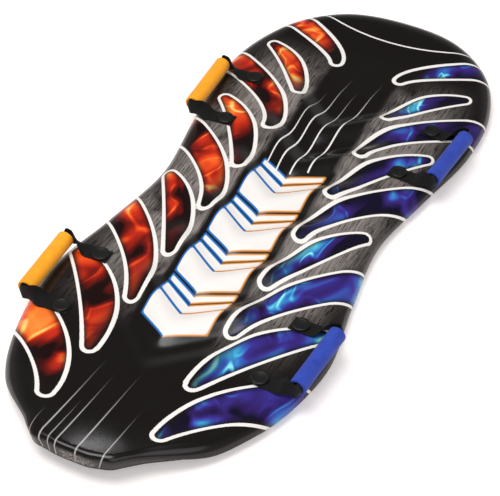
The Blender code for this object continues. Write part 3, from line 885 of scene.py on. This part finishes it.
def blade_fill(x, y, blade, left_side):
    """Glowing clouds that darken towards the blade's edge and its tip."""
    swirl = noise(flat_place(x, y, FILL_RATES), scale=7.0, detail=1.0)
    bend = (swirl - NOISE_MIDDLE) * SWIRL_BEND
    licked = flat_place(x * FILL_RATES[0] + bend, y * FILL_RATES[1] + bend)
    cloud = noise(licked, scale=9.0, detail=2.5, roughness=0.45)
    crests = []
    for scale, distortion, width in wisp_sets:
        wisps = noise(licked, scale, detail=1.0, distortion=distortion)
        crests.append(fade(abs(wisps - NOISE_MIDDLE), width, 0.0))
    crest = crests[0] + crests[1] * fade(swirl, *WISP_SWIRL)
    lit = crest * fade(cloud, *WISP_CLOUD)
    heat = (cloud - NOISE_MIDDLE) * CLOUD_CONTRAST + CLOUD_LEVEL + lit * WISP_GLOW
    glow = fade(-blade, *FILL_DEPTH) * fade(abs(x), *FILL_REACH)
    return mix(glow, CHARCOAL, mix(left_side, ramp(heat, FIRE_STOPS), ramp(heat, ICE_STOPS)))


# The grey zones lie between the marks and the rails, with streaks and dark scratches lengthways
STREAK_RATES = (300.0, 17.5)
SCRATCH_RATES = (336.0, 33.6)
STREAK_STOPS = [
    (0.36, (0.110, 0.095, 0.087)), (0.48, (0.205, 0.178, 0.164)), (0.64, (0.300, 0.262, 0.243)),
]
SCRATCH_EDGE = (0.45, 0.40)
SCRATCH_STRENGTH = 0.75
ZONE_INNER = (0.058, 0.076)
ZONE_OUTER = (0.225, 0.150)
ZONE_FORE = (-0.36, -0.13)
ZONE_AFT = (0.47, 0.30)
ZONE_PATCHES = (0.30, 0.50)
ZONE_CHIPPING = (1.0, 0.55)


def brushed_ground(x, y):
    """Charcoal with brushed grey zones that fade out in patches and chips at their edges."""
    reach = abs(x)
    streaks = noise(flat_place(x, y, STREAK_RATES), scale=1.0, detail=4.0, roughness=0.65)
    scratches = noise(flat_place(x, y, SCRATCH_RATES), scale=1.0, detail=4.0, roughness=0.7)
    scratches = fade(scratches, *SCRATCH_EDGE)
    zone = fade(reach, *ZONE_INNER) * fade(reach, *ZONE_OUTER)
    zone = zone * (fade(y, *ZONE_FORE) * fade(y, *ZONE_AFT))
    zone = zone * fade(noise(flat_place(x, y), scale=9.0), *ZONE_PATCHES)
    chipped = scratches * fade(zone, *ZONE_CHIPPING)
    scratched = calculated("MAXIMUM", chipped, scratches * SCRATCH_STRENGTH)
    return mix(zone, CHARCOAL, mix(scratched, ramp(streaks, STREAK_STOPS), CHARCOAL))


# Each mark has a dark backing and a coloured halo; a lighter grey patch on the nose wall is painted sheen
BACKING_EDGE = (0.020, 0.009)
HALO_EDGE = (0.0042, 0.0008)
HALO_STRENGTH = 0.9
HALO_ORANGE = (0.88, 0.36, 0.08)
HALO_BLUE = (0.02, 0.22, 0.66)
WALL_SHEEN_PLACE = 0.012
WALL_SHEEN_HALF_WIDTH = (0.040, 0.020)
WALL_SHEEN_START = (-0.597, -0.603)
WALL_SHEEN_CELLS = (0.36, 0.60)
WALL_SHEEN_COLOUR = (0.21, 0.19, 0.18)
FILM_ROUGHNESS = [(0.30, grey(0.18)), (0.70, grey(0.24))]


def film_print():
    finish, nodes, shader = new_material("printed_film", {"Specular IOR Level": 0.50})
    x, y, blade = (attribute(nodes, name) for name in ("print_x", "print_y", "blade_edge"))
    reach = abs(x)
    left_side = fade(x, -SEAM_SOFTNESS, SEAM_SOFTNESS)
    mark = mark_distance(x, y)
    inked = mix(fade(mark, *BACKING_EDGE), brushed_ground(x, y), CHARCOAL)
    halo_colour = mix(left_side, HALO_BLUE, HALO_ORANGE)
    inked = mix(fade(mark, *HALO_EDGE) * HALO_STRENGTH, inked, halo_colour)
    inked = mix(fine_line_share(x, y), inked, LINE_WHITE)
    inked = mix(inside(blade), inked, blade_fill(x, y, blade, left_side))
    line_half = LINE_HALF_WIDTH - fade(reach, *LINE_SLIMMING_REACH) * LINE_SLIMMING
    inked = mix(inside(abs(blade) - line_half), inked, LINE_WHITE)
    inked = mix(inside(mark), inked, LINE_WHITE)
    place = object_place(nodes)
    cells = noise(place, scale=420.0, detail=2.0)
    # Painted sheen: a lighter grey patch, broken by cells, on the nose's front wall below its highlight
    painted_sheen = fade(y, *WALL_SHEEN_START) * fade(cells, *WALL_SHEEN_CELLS)
    painted_sheen = painted_sheen * fade(abs(x - WALL_SHEEN_PLACE), *WALL_SHEEN_HALF_WIDTH)
    feed(shader.inputs["Base Color"], mix(painted_sheen, inked, WALL_SHEEN_COLOUR))
    scuffs = noise(place, scale=30.0, detail=4.0, roughness=0.6)
    feed(shader.inputs["Roughness"], ramp(scuffs, FILM_ROUGHNESS))
    bump(shader, cells, distance=0.0002, strength=0.05)
    return finish


deck.data.materials.clear()
deck.data.materials.append(film_print())
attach(deck, "board")
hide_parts("deck_skin")


# The core is moulded from closed-cell foam beads.  It fills the board between the skin and the
# base, both bonded to it, and it is bored right through for the eight anchors and their stems.
CORE_BORE_RADIUS = 0.0076
BEADS_PER_METRE = 240.0
BEAD_SHADE_STOPS = [(0.0, (0.84, 0.84, 0.82)), (0.9, (0.66, 0.66, 0.64))]

bm = bmesh.new()
core_rim = deck_sheet(bm, SKIN_THICKNESS + JOINT_GAP)
bmesh.ops.triangle_fill(bm, edges=core_rim, use_beauty=True)
core = finished(bm, "bead_core", smooth_angle=math.radians(30))
for name in WORKING_LAYERS:
    core.data.attributes.remove(core.data.attributes[name])
bored(core, bore_pins(CORE_BORE_RADIUS, 0.0, DECK_HEIGHT * 2))


def cell_distance(place, scale):
    """Distance to the middle of the nearest bead or pore."""
    made = place.node("ShaderNodeTexVoronoi")
    made.inputs["Scale"].default_value = scale
    feed(made.inputs["Vector"], place)
    return Reading(made.outputs["Distance"])


def bead_foam():
    finish, nodes, shader = new_material("bead_foam", {"Roughness": 0.85})
    beads = cell_distance(object_place(nodes), BEADS_PER_METRE)
    # Painted shade darkens each bead towards its seams with the next
    feed(shader.inputs["Base Color"], ramp(beads, BEAD_SHADE_STOPS))
    bump(shader, 1.0 - beads, distance=0.0006, strength=0.4)
    return finish


core.data.materials.clear()
core.data.materials.append(bead_foam())
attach(core, "board")
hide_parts("foam_core")


# The base is a sheet of slick polyethylene, heat-bonded under the core.  It runs up with the
# nose and the tail, and it is bored for the eight anchors.
BASE_ROWS = 220
BASE_COLUMNS = 24
FLANGE_BORE_RADIUS = 0.0163
BASE_DRAW_RATES = (360.0, 16.0, 360.0)
BASE_STOPS = [(0.3, (0.012, 0.012, 0.013)), (0.7, (0.022, 0.022, 0.024))]
BASE_ROUGHNESS = [(0.3, grey(0.20)), (0.7, grey(0.34))]

bm = bmesh.new()
bmesh.ops.create_grid(bm, x_segments=BASE_COLUMNS, y_segments=BASE_ROWS, size=0.5)
for vert in bm.verts:
    t = (vert.co.y + 0.5) * LAST_KNOT
    foot = outline_point(t) - outward(t) * (foot_inset(t) + flank_trim(t, vert.co.x))
    across = 2 * vert.co.x * max(foot.x, 0.0)
    vert.co = Vector((across, foot.y, base_height(across, foot.y)))
bmesh.ops.remove_doubles(bm, verts=bm.verts, dist=JOINT_GAP / 10)
grown = bmesh.ops.extrude_face_region(bm, geom=list(bm.faces))["geom"]
lifted = [item for item in grown if isinstance(item, bmesh.types.BMVert)]
bmesh.ops.translate(bm, verts=lifted, vec=(0, 0, BASE_THICKNESS))
base = finished(bm, "slick_sheet", smooth_angle=math.radians(30))
bored(base, bore_pins(FLANGE_BORE_RADIUS, -BASE_THICKNESS, BASE_THICKNESS * 2))


def slick_polyethylene():
    """Black sheet with the fine lengthways lines that drawing it through rollers leaves."""
    finish, nodes, shader = new_material("slick_polyethylene", {})
    rolled = nodes.new("ShaderNodeMapping")
    rolled.inputs["Scale"].default_value = BASE_DRAW_RATES
    feed(rolled.inputs["Vector"], object_place(nodes))
    drawn = noise(Reading(rolled.outputs[0]), scale=1.0, detail=5.0, roughness=0.6)
    feed(shader.inputs["Base Color"], ramp(drawn, BASE_STOPS))
    feed(shader.inputs["Roughness"], ramp(drawn, BASE_ROUGHNESS))
    bump(shader, drawn, distance=0.0002, strength=0.25)
    return finish


base.data.materials.clear()
base.data.materials.append(slick_polyethylene())
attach(base, "board")
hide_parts("slick_base")


# Each handle is held by two plugs.  A plug is moulded plastic: a round head with a shallow dish
# and a stem that snaps into an anchor, whose flange lies flush in the base.
TURNED_SIDES = 64
HEAD_RADIUS = 0.0145
HEAD_HEIGHT = 0.0042
HEAD_RIM_HEIGHT = 0.0023
HEAD_DISH_RADIUS = 0.0098
HEAD_DISH_DEPTH = 0.0007
HEAD_EDGE = 0.0006
STEM_RADIUS = 0.005
STEM_CLEARANCE = 0.0003
STEM_END_HEIGHT = 0.006
FLANGE_RADIUS = 0.016
FLANGE_HEIGHT = 0.0017
FLANGE_EDGE = 0.0004
TUBE_RADIUS = 0.00725
TUBE_HEIGHT = 0.024
PLASTIC_STOPS = [(0.3, grey(0.005)), (0.7, (0.009, 0.009, 0.008))]
PLASTIC_ROUGHNESS = [(0.3, grey(0.34)), (0.7, grey(0.50))]


def arc(middle, radius, start, end, steps):
    """Points of a quarter round or less, angles in degrees, as (radius, height) places."""
    turns = [math.radians(start + (end - start) * i / steps) for i in range(steps + 1)]
    return [(middle[0] + radius * math.cos(a), middle[1] + radius * math.sin(a)) for a in turns]


def turned(bm, profile, place, axis=(0, 0, 1), closed=False):
    """Spin a profile of (radius, height) about the vertical through a place."""
    verts = [bm.verts.new((place[0] + r, place[1], place[2] + z)) for r, z in profile]
    edges = [bm.edges.new(pair) for pair in zip(verts, verts[1:])]
    if closed:
        edges.append(bm.edges.new((verts[-1], verts[0])))
    bmesh.ops.spin(bm, geom=verts + edges, axis=axis, cent=place, angle=2 * math.pi,
                   steps=TURNED_SIDES, use_merge=True)
    bmesh.ops.remove_doubles(bm, verts=bm.verts, dist=JOINT_GAP / 10)


def plug_profile(stem_end):
    """Head with a soft rim and a shallow dish, then the stem down to its end."""
    dish = HEAD_HEIGHT - HEAD_DISH_DEPTH
    shoulder = HEAD_RADIUS - (HEAD_HEIGHT - HEAD_RIM_HEIGHT)
    profile = [(0.0, dish), (HEAD_DISH_RADIUS - HEAD_EDGE, dish)]
    profile += arc((HEAD_DISH_RADIUS + HEAD_EDGE, HEAD_HEIGHT - HEAD_EDGE), HEAD_EDGE, 170, 90, 4)
    profile += arc((shoulder, HEAD_RIM_HEIGHT), HEAD_HEIGHT - HEAD_RIM_HEIGHT, 90, 0, 8)
    profile += arc((HEAD_RADIUS - HEAD_EDGE, HEAD_EDGE), HEAD_EDGE, 0, -90, 3)
    profile += [(STEM_RADIUS, 0.0), (STEM_RADIUS, stem_end), (0.0, stem_end)]
    return profile


def anchor_profile():
    """Flange with a soft edge, the tube that takes the stem and the socket's floor."""
    floor = STEM_END_HEIGHT - JOINT_GAP
    bore = STEM_RADIUS + STEM_CLEARANCE
    profile = [(0.0, JOINT_GAP)]
    profile += arc((FLANGE_RADIUS - FLANGE_EDGE, JOINT_GAP + FLANGE_EDGE), FLANGE_EDGE, -90, 0, 3)
    top = JOINT_GAP + FLANGE_HEIGHT
    profile += [(FLANGE_RADIUS, top), (TUBE_RADIUS, top), (TUBE_RADIUS, TUBE_HEIGHT)]
    profile += [(bore, TUBE_HEIGHT), (bore, floor), (0.0, floor)]
    return profile


def moulded_plastic():
    finish, nodes, shader = new_material("moulded_plastic", {})
    place = object_place(nodes)
    grain = noise(place, scale=900.0)
    feed(shader.inputs["Base Color"], ramp(noise(place, scale=60.0), PLASTIC_STOPS))
    feed(shader.inputs["Roughness"], ramp(grain, PLASTIC_ROUGHNESS))
    bump(shader, grain, distance=0.0002, strength=0.22)
    return finish


plug_finish = moulded_plastic()
for (handle, end), middle in PLUG_PLACES.items():
    low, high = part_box(handle + "_plug_" + end)
    head_level = high.z - HEAD_HEIGHT
    bm = bmesh.new()
    turned(bm, plug_profile(low.z - head_level), (middle.x, middle.y, head_level))
    plug = finished(bm, handle + "_" + end + "_plug", smooth_angle=math.radians(35))
    bm = bmesh.new()
    turned(bm, anchor_profile(), (middle.x, middle.y, 0.0))
    anchor = finished(bm, handle + "_" + end + "_anchor", smooth_angle=math.radians(35))
    for piece, node in ((plug, "_plug_"), (anchor, "_anchor_")):
        piece.data.materials.append(plug_finish)
        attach(piece, "board")
        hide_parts(handle + node + end)


# Each grip is a length of soft foam tube, cut square and threaded on the webbing, so that it
# turns freely.  The riders' left ones are blue and the right ones orange.
GRIP_RADIUS = 0.014
GRIP_BORE_RADIUS = 0.0105
GRIP_EDGE = 0.0016
GRIP_RINGS = 30
GRIP_DIMPLE = 0.00022
DIMPLE_RATES = (5.0, 1.7)
PORES_PER_METRE = 900.0
PORE_SHADE_STOPS = [(0.05, grey(0.78)), (0.35, grey(1.0))]
PATCH_RELIEF = 0.8


def handle_frame(name):
    """Outboard, aft and up of a handle as a matrix, from the deck midway between its plugs."""
    fore, aft = PLUG_PLACES[name, "fore"], PLUG_PLACES[name, "aft"]
    middle = (fore + aft) / 2
    along = Vector((aft.x - fore.x, aft.y - fore.y, 0.0)).normalized()
    side = 1 if middle.x > 0 else -1
    out = Vector((along.y, -along.x, 0.0)) * side
    up = Vector((0.0, 0.0, 1.0))
    turn = Matrix((out, along, up)).transposed().to_4x4()
    return Matrix.Translation((middle.x, middle.y, DECK_HEIGHT)) @ turn


def joint(name):
    return next(j for j in frame["joints"] if j["name"] == name)


def grip_place(name):
    """The grip's middle in its handle's own outboard, aft and up."""
    return handle_frame(name).inverted() @ Vector(joint(name + "_turn")["pos_m"])


def foam_tube(colour_name, lit, shaded_tone):
    finish, nodes, shader = new_material(colour_name + "_grip_foam", {
        "Roughness": 0.72, "Specular IOR Level": 0.32, "Sheen Weight": 0.12,
        "Sheen Roughness": 0.5,
    })
    place = object_place(nodes)
    pores = cell_distance(place, PORES_PER_METRE)
    patches = noise(place, scale=70.0, detail=4.0, roughness=0.6)
    # The lit and shaded tones of the foam, laid in random patches: painted light and shade
    tone = ramp(patches, [(0.30, shaded_tone), (0.62, lit)])
    # Painted shade darkens the foam inside its pores
    feed(shader.inputs["Base Color"], mix(1.0, tone, ramp(pores, PORE_SHADE_STOPS), "MULTIPLY"))
    bump(shader, pores + patches * PATCH_RELIEF, distance=0.0003, strength=0.30)
    return finish


grip_finishes = {
    "left": foam_tube("blue", (0.022, 0.060, 0.440), (0.016, 0.042, 0.330)),
    "right": foam_tube("orange", (1.000, 0.400, 0.010), (0.960, 0.340, 0.007)),
}
for handle in handle_names():
    low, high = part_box(handle + "_grip")
    half = (high.y - low.y) / 2 - JOINT_GAP
    middle = grip_place(handle)
    profile = [(GRIP_BORE_RADIUS, -half)]
    profile += arc((GRIP_RADIUS - GRIP_EDGE, -half + GRIP_EDGE), GRIP_EDGE, -90, 0, 5)
    for i in range(1, GRIP_RINGS):
        along = -half + GRIP_EDGE + (half - GRIP_EDGE) * 2 * i / GRIP_RINGS
        dimple = GRIP_DIMPLE * math.sin(DIMPLE_RATES[0] * i) * math.cos(DIMPLE_RATES[1] * i)
        profile.append((GRIP_RADIUS + dimple, along))
    profile += arc((GRIP_RADIUS - GRIP_EDGE, half - GRIP_EDGE), GRIP_EDGE, 0, 90, 5)
    profile += [(GRIP_BORE_RADIUS, half)]
    bm = bmesh.new()
    turned(bm, profile, (0.0, 0.0, 0.0), closed=True)
    lay_down = Matrix.Rotation(math.radians(-90), 4, "X")
    bmesh.ops.transform(bm, matrix=handle_frame(handle) @ Matrix.Translation(middle) @ lay_down,
                        verts=bm.verts)
    grip = finished(bm, handle + "_foam_grip", smooth_angle=math.radians(60))
    grip.data.materials.append(grip_finishes[handle.split("_")[1]])
    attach(grip, handle + "_roll")
    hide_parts(handle + "_grip")


# The straps are flat woven polypropylene.  One length runs from plug to plug: it lies flat under
# the plug heads, tips on edge on its way out, turns into the grip and curls against its bore.
WEB_WIDTH = 0.028
WEB_THICKNESS = 0.0018
WEB_TAIL = 0.0155
PLUG_SPACING = 0.128
HINGE_OFFSET = 0.023
TURN_RADIUS = 0.0075
CURL_RADIUS = 0.0085
LEAN_END_SHARE = 0.85
FLAT_STEPS = 8
TWIST_STEPS = 16
TURN_STEPS = 10
BORE_STEPS = 12
WEB_FACETS = 12
SELVEDGE_SHARE = 0.55
BEND_BEFORE_HINGE = 0.004
BEND_AFTER_HINGE = 0.008
WARP_PITCH = 0.0021
WEFT_PITCH = 0.0030
WARP_RELIEF = 0.6
WEAVE_SHADE = 0.32
FUZZ_TONE = 0.5
WEB_STOPS = [(0.15, grey(0.0025)), (0.75, (0.010, 0.010, 0.0095))]


def web_path(grip_middle, half_grip):
    """Stations of a strap's fore half: place, heading, lean and curl, from tail to grip."""
    level = JOINT_GAP + WEB_THICKNESS / 2
    rise = grip_middle.z - level
    line = -PLUG_SPACING / 2
    stations = []
    for i in range(FLAT_STEPS):
        x = -WEB_TAIL + (WEB_TAIL + HINGE_OFFSET) * i / FLAT_STEPS
        stations.append((Vector((x, line, level)), 0.0, 0.0, 0.0))
    bore_line = grip_middle.x + CURL_RADIUS
    centre = Vector((bore_line - TURN_RADIUS, -half_grip, grip_middle.z))
    start = Vector((HINGE_OFFSET, line, level))
    turn_start = centre + Vector((0, -TURN_RADIUS, 0))
    for i in range(TWIST_STEPS + 1):
        share = i / TWIST_STEPS
        lean = smoothstep(0, LEAN_END_SHARE, share) * math.pi / 2
        place = start.lerp(turn_start, share)
        place.z = level + rise * math.sin(lean)
        stations.append((place, 0.0, lean, 0.0))
    for i in range(1, TURN_STEPS + 1):
        share = i / TURN_STEPS
        heading = share * math.pi / 2
        place = centre + TURN_RADIUS * Vector((math.sin(heading), -math.cos(heading), 0))
        stations.append((place, heading, math.pi / 2, smoothstep(0, 1, share)))
    for i in range(1, BORE_STEPS + 1):
        place = Vector((bore_line, -half_grip * (1 - i / BORE_STEPS), grip_middle.z))
        stations.append((place, math.pi / 2, math.pi / 2, 1.0))
    return stations


def web_ring(place, heading, lean, curl):
    """Closed ring of (point, place across) round the webbing at a station."""
    across = Vector((math.sin(heading), -math.cos(heading), 0)) * math.cos(lean)
    across -= Vector((0, 0, math.sin(lean)))
    along = Vector((math.cos(heading), math.sin(heading), 0))
    face = across.cross(along)
    upper, lower = [], []
    for i in range(WEB_FACETS + 1):
        reach = WEB_WIDTH / 2 * (2 * i / WEB_FACETS - 1)
        middle, normal = place + across * reach, face
        if curl > 0:
            radius = CURL_RADIUS / curl
            angle = reach / radius
            middle = place + across * radius * math.sin(angle)
            middle -= face * radius * (1 - math.cos(angle))
            normal = face * math.cos(angle) + across * math.sin(angle)
        edge = abs(2 * i / WEB_FACETS - 1) == 1
        half = WEB_THICKNESS / 2 * (SELVEDGE_SHARE if edge else 1.0)
        upper.append((middle + normal * half, reach))
        lower.append((middle - normal * half, reach))
    return upper + lower[::-1]


def woven_webbing():
    """Weave that follows the strap, read from its places along and across."""
    finish, nodes, shader = new_material("woven_webbing", {
        "Roughness": 0.62, "Specular IOR Level": 0.22, "Sheen Weight": 0.03,
    })
    along = attribute(nodes, "web_along")
    across = attribute(nodes, "web_across")
    warp = calculated("SINE", across * (2 * math.pi / WARP_PITCH))
    weft = calculated("SINE", along * (2 * math.pi / WEFT_PITCH))
    weave = warp * weft * WARP_RELIEF + abs(weft)
    fuzz = noise(object_place(nodes), scale=700.0)
    # Painted shade: the webbing is darker in the weave's dips, with a random fuzz of tone
    tone = ramp(weave * WEAVE_SHADE + fuzz * FUZZ_TONE, WEB_STOPS)
    feed(shader.inputs["Base Color"], tone)
    bump(shader, weave, distance=0.0005, strength=0.55)
    return finish


web_finish = woven_webbing()
for handle in handle_names():
    middle = grip_place(handle)
    low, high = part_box(handle + "_grip")
    fore = web_path(middle, (high.y - low.y) / 2)
    rings = [web_ring(*station) for station in fore]
    mirrored = [[(Vector((p.x, -p.y, p.z)), v) for p, v in ring] for ring in rings[-2::-1]]
    bm = bmesh.new()
    along_layer = bm.verts.layers.float.new("web_along")
    across_layer = bm.verts.layers.float.new("web_across")
    loops = []
    run = 0.0
    before = rings[0][0][0]
    for ring in rings + mirrored:
        run += (ring[0][0] - before).length
        before = ring[0][0]
        verts = []
        for point, reach in ring:
            vert = bm.verts.new(point)
            vert[along_layer], vert[across_layer] = run, reach
            verts.append(vert)
        loops.append([bm.edges.new((verts[i - 1], verts[i])) for i in range(len(verts))])
    for near, far in zip(loops, loops[1:]):
        bmesh.ops.bridge_loops(bm, edges=near + far)
    for end_loop in (loops[0], loops[-1]):
        bmesh.ops.contextual_create(bm, geom=end_loop)
    bmesh.ops.transform(bm, matrix=handle_frame(handle), verts=bm.verts)
    strap = finished(bm, handle + "_webbing")
    strap.data.materials.append(web_finish)
    place = handle_frame(handle)
    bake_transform(strap, "board", handle + "_handle",
             start=place @ Vector((HINGE_OFFSET - BEND_BEFORE_HINGE, 0, JOINT_GAP)),
             end=place @ Vector((HINGE_OFFSET + BEND_AFTER_HINGE, 0, JOINT_GAP)))
    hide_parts(handle + "_strap", handle + "_strap_end_fore", handle + "_strap_end_aft")
